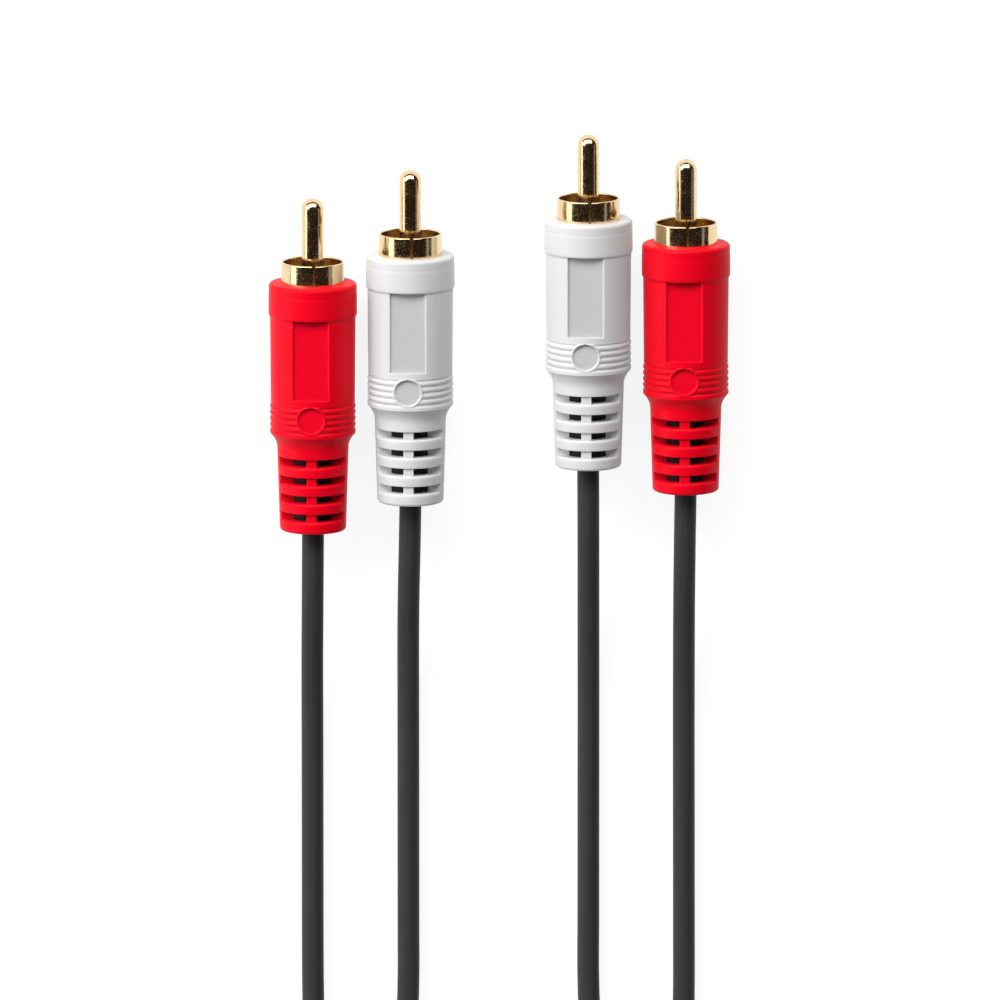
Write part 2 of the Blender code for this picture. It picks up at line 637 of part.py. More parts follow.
def main():
    for old in list(bpy.data.objects):
        bpy.data.objects.remove(old, do_unlink=True)
    for name, colour, x, front in PLUGS:
        place = (x, front, AXIS_HEIGHT)
        make_boot(name, colour, place)
        make_mould(name, place)
        make_shell(name, place)
        make_insulator(name, place)
        make_pin(name, place)
        make_stripped_end(name, place)
        make_cord(name, colour, x, front)
    make_coil()
    make_tie()


main()
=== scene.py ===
"""Stereo phono lead, dressed for its picture: smooth boots, gold-plated metal, cords and coil.

Lengths are metres in the frame of the part: the plugs point along +Y, the table is z = 0.
"Back" is the distance behind the front face of a plug's boot, along -Y. "Turn" is the
angle round a plug's axis, from straight up towards +X.
"""

import math

import bpy
import numpy as np
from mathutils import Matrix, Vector


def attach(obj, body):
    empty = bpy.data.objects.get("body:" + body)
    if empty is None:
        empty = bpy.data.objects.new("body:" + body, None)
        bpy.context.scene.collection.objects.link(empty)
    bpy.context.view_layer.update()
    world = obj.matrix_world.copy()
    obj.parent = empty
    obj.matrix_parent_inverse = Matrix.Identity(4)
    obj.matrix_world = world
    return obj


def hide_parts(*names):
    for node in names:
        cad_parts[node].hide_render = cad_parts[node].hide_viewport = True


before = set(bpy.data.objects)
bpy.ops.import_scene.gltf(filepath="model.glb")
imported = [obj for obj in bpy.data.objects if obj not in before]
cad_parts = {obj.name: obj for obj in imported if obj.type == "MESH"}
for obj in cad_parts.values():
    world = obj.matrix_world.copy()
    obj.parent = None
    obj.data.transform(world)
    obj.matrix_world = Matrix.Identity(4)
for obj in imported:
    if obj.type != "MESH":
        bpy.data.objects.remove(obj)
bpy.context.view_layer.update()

MM = 0.001

# Sizes repeated from the part's source, in millimetres
CORD_RADIUS = 1.6
AXIS_HEIGHT = 6.43
BODY_RADIUS = 6.22
COLLAR_RADIUS = 6.43
COLLAR_LENGTH = 4.7
BODY_END_RADIUS = 6.11
PANEL_START = 4.8
PANEL_END = 16.6
PANEL_HALF = 2.6
PANEL_FLOOR = 5.3
GRIP_START = 17.5
GRIP_PITCH = 0.9
GRIP_END = 22.0
GRIP_CREST = 6.22
DOT_BACK = 19.45
DOT_RADIUS = 1.9
DOT_FLOOR = 5.71
SHOULDER_START = 22.1
SHOULDER_END = 24.3
NECK_RADIUS = 5.18
TAIL_RADIUS = 4.82
SLOT_MIDDLES = (26.025, 28.725, 31.425, 34.125)
SLOT_HALF = 0.6
SPINE_HALF = 1.8
CORE_RADIUS = 4.2
NECK_CORE_RADIUS = 3.2
WEB_HALF = 0.73
WEB_SET_IN = 0.3
BOOT_LENGTH = 36.5
SHELL_RADIUS = 4.6
SHELL_WALL = 0.35
SHELL_REACH = 3.1
SLIT_HALF = 0.15
PIN_RADIUS = 1.6
PIN_REACH = 9.3
TWIN_HALF = 1.75
COIL_Y = -184.0

# Fine forms of the boot and the ring, read from the photo: the solids have chamfers or steps there
FRONT_ROUND = 0.5
TAIL_ROUND = 0.45
COLLAR_STEP = 0.035       # how far the collar's front part lies lower
COLLAR_STEP_BACK = 1.5
GROOVE_DEPTH = 0.2
DOT_RIM = 0.03
SLOT_SOFT = 0.26          # fall and width of the soft edge at the back of each slot
SLOT_SOFT_WIDTH = 0.45
SLOT_CRISP = 0.06         # the same for the crisp edge at its front
SLOT_CRISP_WIDTH = 0.09
RING_BITE = 0.12          # how far the boot closes in on the ring and on the cord
CORD_BITE = 0.06
SLIT_FLARE = 0.32         # how far each side of the slit opens at the rim
SLIT_FLARE_LENGTH = 0.45

# name, colour, x, y of the boot's front face, how far the boot has rolled on its axis (degrees)
PLUGS = [
    ("left_red", "red", -27.1, 7.35, -2.3),
    ("left_white", "white", -12.925, 11.5, -3.5),
    ("right_white", "white", 12.925, 16.75, -3.8),
    ("right_red", "red", 27.1, 13.15, -2.3),
]
SLIT_TURN = 2.7           # degrees from straight up to the slit in each ring

# Route of each single cord from the boot to the split: as in the part's source, within 0.4 mm
LEG_ROUTES = {
    "left_red": [
        (-27.15, -36.0, 6.2), (-27.2, -43.0, 5.2), (-27.25, -50.0, 3.7), (-27.25, -57.0, 2.35),
        (-27.25, -64.0, 1.7), (-27.25, -72.0, 1.6), (-27.25, -81.0, 1.6), (-27.25, -90.0, 1.6),
        (-27.2, -99.0, 1.6), (-27.0, -106.0, 1.6), (-26.3, -112.5, 1.6), (-25.6, -118.5, 1.6),
        (-25.5, -122.5, 1.6),
    ],
    "left_white": [
        (-13.05, -32.0, 6.2), (-13.2, -39.0, 5.2), (-13.27, -46.0, 3.7), (-13.27, -53.0, 2.35),
        (-13.27, -60.0, 1.7), (-13.27, -70.0, 1.6), (-13.27, -80.0, 1.6), (-13.27, -90.0, 1.6),
        (-13.27, -96.5, 1.6), (-13.5, -102.0, 1.6), (-14.5, -107.0, 1.6), (-16.3, -111.4, 1.6),
        (-18.6, -116.0, 1.6), (-20.9, -121.5, 1.6),
    ],
    "right_white": [
        (12.95, -26.7, 6.2), (12.97, -33.7, 5.2), (12.98, -40.7, 3.7), (12.99, -47.7, 2.35),
        (13.0, -54.7, 1.7), (13.0, -65.0, 1.6), (13.0, -77.0, 1.6), (13.0, -88.0, 1.6),
        (13.0, -96.5, 1.6), (13.25, -102.0, 1.6), (14.25, -107.0, 1.6), (16.05, -111.4, 1.6),
        (18.4, -116.0, 1.6), (20.8, -121.5, 1.6),
    ],
    "right_red": [
        (27.0, -30.3, 6.2), (26.93, -37.3, 5.2), (26.9, -44.3, 3.7), (26.9, -51.3, 2.35),
        (26.9, -58.3, 1.7), (26.92, -68.0, 1.6), (26.94, -78.0, 1.6), (26.96, -88.5, 1.6),
        (26.96, -99.0, 1.6), (26.8, -106.0, 1.6), (26.1, -112.5, 1.6), (25.5, -118.5, 1.6),
        (25.5, -122.5, 1.6),
    ],
}

# Route of the twin cord from each split to the coil: x, y, z and the turn from flat to on edge
TWIN_LEFT = [
    (-24.5, -127.0, 1.60, 0), (-26.4, -134.8, 2.35, 22), (-28.3, -142.5, 3.2, 55),
    (-30.2, -150.3, 3.7, 80), (-32.4, -159.0, 3.9, 90),
]
TWIN_RIGHT = [
    (24.5, -127.0, 1.60, 0), (25.8, -132.3, 2.2, 14), (27.1, -137.7, 3.4, 36),
    (28.6, -143.8, 6.0, 64), (30.3, -150.6, 9.0, 84), (32.4, -159.0, 10.65, 90),
]

# The coil, seen from above, is wound anticlockwise from the left-hand end to the right-hand end
COIL_ENTRY = 166.2        # degrees from +X where the twin cord meets the coil
COIL_EXIT = 13.8
COIL_RADII = (30.6, 34.0, 37.4)
COIL_HEIGHTS = (4.05, 10.85)
COIL_TURN_POINTS = 72
TIE_TOP = 14.95           # height of the middle of the tie's twisted ends


# Camera

VIEW_MIDDLE = (0.1, -24.85, AXIS_HEIGHT)
VIEW_WIDTH = 145.45       # width of the picture at the height of the plugs' axes
VIEW_LEAN = 10.8          # degrees between the camera's line of sight and straight down
VIEW_DISTANCE = 4000.0
FILM_WIDTH = 36.0

lean = math.radians(VIEW_LEAN)
camera_data = bpy.data.cameras.new("picture_camera")
camera_data.sensor_width = FILM_WIDTH
camera_data.lens = FILM_WIDTH * VIEW_DISTANCE / VIEW_WIDTH
camera_data.clip_start = 0.05
camera_data.clip_end = 20
camera = bpy.data.objects.new("picture_camera", camera_data)
camera.location = Vector(VIEW_MIDDLE) * MM + Vector((0, math.sin(lean), math.cos(lean))) * VIEW_DISTANCE * MM
camera.rotation_euler = (-lean, 0, 0)
bpy.context.collection.objects.link(camera)
bpy.context.scene.camera = camera


# Surfaces

def skin(name, rings, loop=False, sharp=60):
    """A closed surface through rings of points.

    Quads join neighbouring rings, and the last ring to the first in a loop; otherwise a fan
    runs from each end ring to its middle point. Faces are turned outward by the sign of the
    volume they enclose. The map on it runs round the ring and along the rings, in millimetres.
    """
    rows, columns = rings.shape[:2]
    row = np.arange(rows if loop else rows - 1)[:, None]
    column = np.arange(columns)[None, :]
    beside = (column + 1) % columns
    ahead = (row + 1) % rows
    quads = np.stack([row * columns + column, row * columns + beside,
                      ahead * columns + beside, ahead * columns + column], axis=-1).reshape(-1, 4)
    spots = rings.reshape(-1, 3)
    step_along = np.linalg.norm(np.diff(rings.mean(axis=1), axis=0), axis=1)
    along = np.concatenate([[0], np.cumsum(np.maximum(step_along, 0.01))])
    round_it = np.linalg.norm(np.roll(rings, -1, axis=1) - rings, axis=2).mean(axis=0)
    across = np.concatenate([[0], np.cumsum(round_it)])
    if loop:
        along = np.append(along, along[-1] + step_along.mean())
    lie = np.stack([
        np.stack([across[column] + 0 * row, along[row] + 0 * column], axis=-1),
        np.stack([across[column + 1] + 0 * row, along[row] + 0 * column], axis=-1),
        np.stack([across[column + 1] + 0 * row, along[row + 1] + 0 * column], axis=-1),
        np.stack([across[column] + 0 * row, along[row + 1] + 0 * column], axis=-1),
    ], axis=2).reshape(-1, 2)
    fans = np.zeros((0, 3), dtype=int)
    if not loop:
        ends = np.stack([rings[0].mean(axis=0), rings[-1].mean(axis=0)])
        first = np.stack([0 * column[0] + len(spots), beside[0], column[0]], axis=-1)
        last_row = (rows - 1) * columns
        last = np.stack([0 * column[0] + len(spots) + 1, last_row + column[0], last_row + beside[0]], axis=-1)
        fans = np.concatenate([first, last])
        spots = np.concatenate([spots, ends])
        flat = np.zeros((len(fans) * 3, 2))
        flat[:, 0] = np.tile([0, 1, 2], len(fans)) * 0.1
        lie = np.concatenate([lie, flat])
    corners = spots[quads]
    volume = np.einsum("ij,ij->", corners[:, 0], np.cross(corners[:, 1], corners[:, 2]))
    volume += np.einsum("ij,ij->", corners[:, 0], np.cross(corners[:, 2], corners[:, 3]))
    if len(fans):
        corners = spots[fans]
        volume += np.einsum("ij,ij->", corners[:, 0], np.cross(corners[:, 1], corners[:, 2]))
    if volume < 0:
        quads = quads[:, ::-1]
        fans = fans[:, ::-1]
        split = len(quads) * 4
        lie = np.concatenate([lie[:split].reshape(-1, 4, 2)[:, ::-1].reshape(-1, 2),
                              lie[split:].reshape(-1, 3, 2)[:, ::-1].reshape(-1, 2)])
    mesh = bpy.data.meshes.new(name)
    mesh.from_pydata((spots * MM).tolist(), [], quads.tolist() + fans.tolist())
    mesh.uv_layers.new(name="lie").data.foreach_set("uv", lie.ravel())
    mesh.shade_smooth()
    mesh.set_sharp_from_angle(angle=math.radians(sharp))
    made = bpy.data.objects.new(name, mesh)
    bpy.context.collection.objects.link(made)
    return made


def plug_points(plug, back, radius, turn):
    """Points round a plug's axis: x + radius sin(turn), front - back, axis height + radius cos(turn)."""
    x, front = plug[2], plug[3]
    across = radius * np.sin(turn)
    return np.stack([x + across, front - back + 0 * across, AXIS_HEIGHT + radius * np.cos(turn)], axis=-1)


def lathe(name, plug, profile, columns=64, sharp=40):
    """A turned piece: each (back, radius) of the profile is carried round the plug's axis."""
    turn = np.linspace(0, math.tau, columns, endpoint=False)[None, :]
    back, radius = np.array(profile, dtype=float).T
    return skin(name, plug_points(plug, back[:, None], radius[:, None], turn), sharp=sharp)


def ease(low, high, value):
    """0 below low, 1 above high, and 3t^2 - 2t^3 between."""
    t = np.clip((value - low) / (high - low), 0, 1)
    return t * t * (3 - 2 * t)


def rounding(t):
    """How far a quarter circle has fallen away at t of its width, 1 at t = 0 and 0 from t = 1 on."""
    t = np.clip(t, 0, 1)
    return 1 - np.sqrt(np.clip(1 - (1 - t) ** 2, 0, 1))


# Cords

def smooth_line(points, step):
    """Points a step apart on a centripetal Catmull-Rom curve through the given points, any width."""
    spots = np.array(points, dtype=float)
    ends = np.vstack([2 * spots[0] - spots[1], spots, 2 * spots[-1] - spots[-2]])
    gaps = np.sqrt(np.linalg.norm(np.diff(ends[:, :3], axis=0), axis=1))
    fine = []
    for number in range(1, len(ends) - 2):
        four = ends[number - 1:number + 3]
        knots = np.concatenate([[0], np.cumsum(gaps[number - 1:number + 2])])
        t = np.linspace(knots[1], knots[2], 24, endpoint=False)[:, None]
        level = [((knots[i + 1] - t) * four[i] + (t - knots[i]) * four[i + 1]) / (knots[i + 1] - knots[i])
                 for i in range(3)]
        second = [((knots[i + 2] - t) * level[i] + (t - knots[i]) * level[i + 1]) / (knots[i + 2] - knots[i])
                  for i in range(2)]
        fine.append(((knots[2] - t) * second[0] + (t - knots[1]) * second[1]) / (knots[2] - knots[1]))
    line = np.concatenate(fine + [spots[-1:]])
    return even_line(line, step)


def even_line(line, step):
    """The same line read off at even distances about a step apart."""
    lengths = np.concatenate([[0], np.cumsum(np.linalg.norm(np.diff(line[:, :3], axis=0), axis=1))])
    marks = np.linspace(0, lengths[-1], max(2, round(lengths[-1] / step) + 1))
    return np.stack([np.interp(marks, lengths, line[:, axis]) for axis in range(line.shape[1])], axis=1)


def line_length(line):
    """Length of a line of points."""
    return float(np.linalg.norm(np.diff(line[:, :3], axis=0), axis=1).sum())


def carried(line, section, twist=None):
    """Rings of a section carried along a line.

    At each point the section's first axis starts level, to the right of the way the line
    runs, and its second axis points up; twist turns both round the line, in degrees.
    """
    ahead = np.gradient(line, axis=0)
    ahead /= np.linalg.norm(ahead, axis=1, keepdims=True)
    right = np.stack([ahead[:, 1], -ahead[:, 0], 0 * ahead[:, 0]], axis=1)
    right /= np.linalg.norm(right, axis=1, keepdims=True)
    rise = np.cross(right, ahead)
    if twist is not None:
        turn = np.radians(twist)[:, None]
        right, rise = np.cos(turn) * right + np.sin(turn) * rise, np.cos(turn) * rise - np.sin(turn) * right
    return (line[:, None] + section[..., 0:1] * right[:, None] + section[..., 1:2] * rise[:, None])


def core_spots(route, sign):
    """Where one core of the twin runs at each point of a route that starts at a split."""
    spots = np.array(route, dtype=float)
    ahead = np.gradient(spots[:, :2], axis=0)
    ahead /= np.linalg.norm(ahead, axis=1, keepdims=True)
    outward = np.stack([ahead[:, 1], -ahead[:, 0]], axis=1) * -np.sign(spots[0, 0])
    turn = np.radians(spots[:, 3:4])
    return np.concatenate([spots[:, :2] + sign * TWIN_HALF * np.cos(turn) * outward,
                           spots[:, 2:3] + sign * TWIN_HALF * np.sin(turn)], axis=1)


def coil_line():
    """Centre of the twin cord in the coil: x, y, z along six passes.

    The radius and the height are steps along the angle. On the side towards the plugs the
    cord moves inward in the lower layer, then rises, then moves outward in the upper one.
    """
    whole = 5 * 360 + (COIL_EXIT - COIL_ENTRY) % 360
    travel = np.linspace(0, whole, round(whole / 360 * COIL_TURN_POINTS) + 1)
    inner, middle, outer = COIL_RADII
    low, high = COIL_HEIGHTS
    radius = np.full_like(travel, outer)
    height = np.full_like(travel, low)
    zone = (COIL_EXIT - COIL_ENTRY) % 360      # travel at which the side towards the plugs begins
    for turn_number, (start, end, change) in enumerate([
            (98, 146, middle - outer), (98, 146, inner - middle), (51, 98, 0),
            (4, 51, middle - inner), (4, 51, outer - middle)]):
        begin = zone + turn_number * 360
        amount = ease(begin + start, begin + end, travel)
        if change:
            radius += change * amount
        else:
            height += (high - low) * amount
    angle = np.radians(COIL_ENTRY + travel)
    return np.stack([radius * np.cos(angle), COIL_Y + radius * np.sin(angle), height], axis=1)


def make_leg(plug):
    """A round cord from inside the boot to the split."""
    name, colour, x, front = plug[:4]
    sign = 1 if colour == "red" else -1
    twin = TWIN_LEFT if name.startswith("left") else TWIN_RIGHT
    split = core_spots(twin, sign)
    route = [(x, front - BOOT_LENGTH + 1.5, AXIS_HEIGHT), (x, front - BOOT_LENGTH, AXIS_HEIGHT)]
    route += LEG_ROUTES[name] + [tuple(split[0])]
    line = smooth_line(route, 1.2)
    turn = np.linspace(0, math.tau, 32, endpoint=False)
    section = CORD_RADIUS * np.stack([np.cos(turn), np.sin(turn)], axis=-1)
    leg = skin(name + "_cord", carried(line, section[None]))
    dress(leg, "cord_jacket", "cord_jacket", name + "_lead")
    return line_length(line)


def make_twin():
    """The twin cord: two round cores joined by a web, from split to split through the coil."""
    coil = coil_line()
    start = np.array(TWIN_LEFT, dtype=float)
    end = np.array(TWIN_RIGHT, dtype=float)[::-1]
    coil_turned = np.concatenate([coil, np.full((len(coil), 1), 90.0)], axis=1)
    route = np.concatenate([start, coil_turned, end])
    whole = smooth_line(route, 2.4)
    line, twist = whole[:, :3], whole[:, 3]
    lobe = np.radians(np.linspace(-158, 158, 19))
    one = np.stack([TWIN_HALF + CORD_RADIUS * np.cos(lobe), CORD_RADIUS * np.sin(lobe)], axis=-1)
    section = np.concatenate([one, -one])
    twin = skin("twin_cord", carried(line, section[None], twist))
    dress(twin, "cord_jacket", "cord_jacket", "lead_coil")
    return line_length(line)


# Plugs

def turned_reach(back):
    """The boot's turned outline: radius at each distance back, with no cuts in it.

    A quarter circle at the front, a faint step on the collar, an eased step down to the
    body, a straight taper, the grip standing proud, a shoulder that falls as 1 - (1 - t)^2,
    a straight taper to the tail and a quarter circle at its end.
    """
    collar = COLLAR_RADIUS - COLLAR_STEP * (1 - ease(COLLAR_STEP_BACK, COLLAR_STEP_BACK + 0.35, back))
    body = np.interp(back, [COLLAR_LENGTH, GRIP_START], [BODY_RADIUS, BODY_END_RADIUS])
    radius = collar + (body - collar) * ease(COLLAR_LENGTH - 0.15, COLLAR_LENGTH + 0.4, back)
    radius = radius + (GRIP_CREST - radius) * ease(GRIP_START - 0.1, GRIP_START + 0.12, back)
    t = np.clip((back - SHOULDER_START) / (SHOULDER_END - SHOULDER_START), 0, 1)
    radius = radius - (GRIP_CREST - NECK_RADIUS) * (1 - (1 - t) ** 2)
    tail = np.interp(back, [SHOULDER_END, BOOT_LENGTH - TAIL_ROUND], [0, NECK_RADIUS - TAIL_RADIUS])
    radius = radius - tail
    radius = radius - FRONT_ROUND * rounding(back / FRONT_ROUND)
    return radius - TAIL_ROUND * rounding((BOOT_LENGTH - back) / TAIL_ROUND)


def boot_reach(back, turn):
    """Radius of the boot's outside at each distance back and turn, and 1 on the two sunk floors.

    From the turned outline are taken: grooves, each a narrow raised cosine; the panel, a
    plane PANEL_FLOOR above the axis; the round dot, a plane with a thin rim; and the slots,
    whose depth at a turn is the greatest of web, spine and a bore inside the black mould.
    """
    outline = turned_reach(back) + 0 * turn
    upright = np.cos(turn)
    across = outline * np.sin(turn)
    seen = upright > 0.5
    from_dot = np.where(seen, np.hypot(across, back - DOT_BACK), 99)
    pitch = (back - GRIP_START) / GRIP_PITCH
    in_grip = ease(GRIP_START - 0.02, GRIP_START + 0.05, back) * (1 - ease(GRIP_END - 0.05, GRIP_END, back))
    groove = (0.5 + 0.5 * np.cos(math.tau * (pitch - 0.25))) ** 1.7
    off_dot = ease(DOT_RADIUS + 0.22, DOT_RADIUS + 0.4, from_dot)
    radius = outline - GROOVE_DEPTH * groove * in_grip * off_dot
    rim = ease(DOT_RADIUS, DOT_RADIUS + 0.08, from_dot)
    rim = rim * (1 - ease(DOT_RADIUS + 0.14, DOT_RADIUS + 0.3, from_dot))
    radius = radius + DOT_RIM * rim
    plane = 1 / np.maximum(upright, 0.2)
    in_dot = 1 - ease(DOT_RADIUS - 0.04, DOT_RADIUS + 0.06, from_dot)
    radius = radius + (np.minimum(DOT_FLOOR * plane, radius) - radius) * in_dot
    in_panel = (ease(PANEL_START - 0.03, PANEL_START + 0.03, back)
                * (1 - ease(PANEL_END - 0.05, PANEL_END + 0.03, back))
                * (1 - ease(PANEL_HALF - 0.02, PANEL_HALF + 0.07, np.abs(across)))) * seen
    radius = radius + (np.minimum(PANEL_FLOOR * plane, radius) - radius) * in_panel
    flat = np.maximum(np.abs(upright), 0.02)
    side = np.maximum(np.abs(np.sin(turn)), 0.02)
    web = np.minimum((outline - WEB_SET_IN) / flat, WEB_HALF / side)
    slot = np.minimum(np.maximum(np.maximum(web, SPINE_HALF / flat), NECK_CORE_RADIUS - 0.1), radius)
    for middle in SLOT_MIDDLES:
        soft = SLOT_SOFT * rounding((back - middle - SLOT_HALF) / SLOT_SOFT_WIDTH) * (back > middle)
        crisp = SLOT_CRISP * rounding((middle - SLOT_HALF - back) / SLOT_CRISP_WIDTH) * (back < middle)
        cut = np.abs(back - middle) < SLOT_HALF - 0.001
        radius = np.where(cut, slot, radius - np.minimum(soft + crisp, radius - slot))
    return radius, np.maximum(in_panel, in_dot)


def boot_rows():
    """Distances back at which the boot is worked out: close together where its form changes."""
    arc = FRONT_ROUND * (1 - np.cos(np.linspace(0, math.pi / 2, 10)))
    tail_arc = BOOT_LENGTH - TAIL_ROUND * (1 - np.cos(np.linspace(0, math.pi / 2, 9)))
    parts = [
        arc, [0.9, 1.2], np.arange(1.45, 1.91, 0.06), [2.4, 3.1, 3.8, 4.3],
        np.arange(4.6, 5.25, 0.05), np.arange(4.76, 4.85, 0.01), np.arange(5.4, 16.2, 0.8),
        [16.3, 16.45], np.arange(16.53, 16.66, 0.015), [16.75, 17.0, 17.2], np.arange(17.35, 22.1, 0.085),
        [22.1, 22.14, 22.2, 22.3, 22.45, 22.6], np.arange(22.8, 24.4, 0.2), [24.7, 25.0], tail_arc,
    ]
    for middle in SLOT_MIDDLES:
        start = middle - SLOT_HALF
        end = middle + SLOT_HALF
        parts.append([start - 0.3, start - 0.09, start - 0.05, start - 0.02, start - 0.001])
        parts.append([start + 0.012, middle, end - 0.012])
        parts.append(end + np.array([0.001, 0.015, 0.045, 0.1, 0.17, 0.25, 0.35, 0.45, 0.7]))
    rows = np.unique(np.round(np.concatenate(parts), 4))
    return rows[(rows >= 0) & (rows <= BOOT_LENGTH)]


def boot_turns():
    """Turns at which the boot is worked out: close together at the web, dot, panel's sides and spines."""
    one_side = np.concatenate([
        np.arange(0, 8.4, 1.05), np.arange(8.4, 17.0, 0.72), np.arange(17.6, 24, 1.05),
        np.arange(24.3, 26.9, 0.3), np.arange(27.6, 54, 2.4), np.arange(54.6, 72, 0.9),
        np.arange(73, 89.9, 2.4),
    ])
    front = np.concatenate([one_side, [90], 180 - one_side[one_side > 50][::-1]])
    lower = np.concatenate([np.arange(131, 162, 3.0), np.arange(163, 172, 0.72), np.arange(172.5, 180, 1.5)])
    front = np.concatenate([front, lower])
    return np.radians(np.concatenate([front, [180], 360 - front[front > 0][::-1]]))


def make_boot(plug):
    """The coloured overmould: its outside, then a short way in round the ring and round the cord."""
    name, colour = plug[:2]
    rows, turns = boot_rows()[:, None], boot_turns()[None, :]
    radius, sunk = boot_reach(rows, turns)
    inside = SHELL_RADIUS - RING_BITE
    hole = CORD_RADIUS - CORD_BITE
    front = [(2.0, 2.0), (2.0, inside), (0.0, inside), (0.0, 5.2)]
    rear = [(BOOT_LENGTH, 3.2), (BOOT_LENGTH, hole), (BOOT_LENGTH - 1.0, hole)]
    back = np.concatenate([[b for b, _ in front], rows[:, 0], [b for b, _ in rear]])[:, None]
    ones = np.ones_like(turns)
    reach = np.concatenate([np.array([[r] for _, r in front]) * ones, radius,
                            np.array([[r] for _, r in rear]) * ones])
    boot = skin(name + "_overmould", plug_points(plug, back, reach, turns + math.radians(plug[4])))
    # sunk_floor marks the panel and dot floors, which the material paints with shade (white) and light (red)
    floors = np.zeros(len(boot.data.vertices))
    floors[len(front) * turns.size:(len(front) + len(rows)) * turns.size] = sunk.ravel()
    boot.data.attributes.new("sunk_floor", "FLOAT", "POINT").data.foreach_set("value", floors)
    dress(boot, colour + "_pvc_moulded", colour + "_pvc", name + "_boot")


def make_core(plug):
    """The black first moulding: a straight barrel, a cone and a straight neck, both ends closed."""
    profile = [(4.5, 2.0), (4.5, CORE_RADIUS - 0.05), (4.6, CORE_RADIUS), (22.3, CORE_RADIUS),
               (22.4, CORE_RADIUS - 0.03), (24.2, NECK_CORE_RADIUS + 0.05), (24.4, NECK_CORE_RADIUS),
               (34.9, NECK_CORE_RADIUS), (35.0, NECK_CORE_RADIUS - 0.1), (35.0, 1.7)]
    core = lathe(plug[0] + "_black_core", plug, profile, columns=96)
    dress(core, "black_mould", "black_mould", plug[0] + "_inner_mould")


def make_ring(plug):
    """The split ring of the ground shell: a wall section carried from one edge of the slit to the other.

    The half width of the slit at a distance t from the rim is its plain half width plus a
    quarter circle that opens it towards the rim.
    """
    half_wall = SHELL_WALL / 2
    rim = np.radians(np.linspace(90, 270, 13))
    rim_back = -SHELL_REACH + half_wall + half_wall * np.cos(rim)
    rim_radius = SHELL_RADIUS - half_wall + half_wall * np.sin(rim)
    plain = np.array([1.6, 1.0, 0.4, -0.3, -1.0, -1.7, -2.1, -2.4, -2.6, -2.7, -2.8, -2.87])
    back = np.concatenate([plain, rim_back, plain[::-1]])
    radius = np.concatenate([np.full(len(plain), SHELL_RADIUS), rim_radius,
                             np.full(len(plain), SHELL_RADIUS - SHELL_WALL)])
    half_slit = SLIT_HALF + SLIT_FLARE * rounding((back + SHELL_REACH) / SLIT_FLARE_LENGTH)
    open_turn = np.arcsin(half_slit / radius)[None, :]
    share = np.linspace(0, 1, 145)[:, None]
    turn = math.radians(SLIT_TURN) + open_turn + share * (math.tau - 2 * open_turn)
    ring = skin(plug[0] + "_split_ring", plug_points(plug, back[None, :], radius[None, :], turn), sharp=50)
    dress(ring, "gold_plated_brass", "gold_plate", plug[0] + "_ground_shell")


def make_bush(plug):
    """The plastic bush inside the ring: a disc with a low boss round the pin and a softened edge."""
    profile = [(3.5, 1.5), (3.5, 4.25), (1.3, 4.25), (1.2, 4.15), (1.2, 2.75), (1.12, 2.6), (0.95, 2.5),
               (0.9, 2.4), (0.9, 1.5)]
    bush = lathe(plug[0] + "_bush", plug, profile)
    dress(bush, "bush_moulded", "bush_plastic", plug[0] + "_insulator")


def make_pin(plug):
    """The centre pin: a rounded tip, a straight shaft and a stepped solder cup."""
    tip = -SHELL_REACH - PIN_REACH
    bow = np.radians(np.linspace(3, 90, 16))
    profile = list(zip(tip + PIN_RADIUS * (1 - np.cos(bow)), PIN_RADIUS * np.sin(bow)))
    profile += [(tip + 2.2, PIN_RADIUS), (-3.0, PIN_RADIUS), (6.5, PIN_RADIUS), (6.6, 1.5), (6.6, 1.25),
                (10.1, 1.25), (10.1, 0.7), (7.7, 0.7)]
    pin = lathe(plug[0] + "_gold_pin", plug, profile, columns=96)
    dress(pin, "gold_plated_brass", "gold_plate", plug[0] + "_centre_pin")


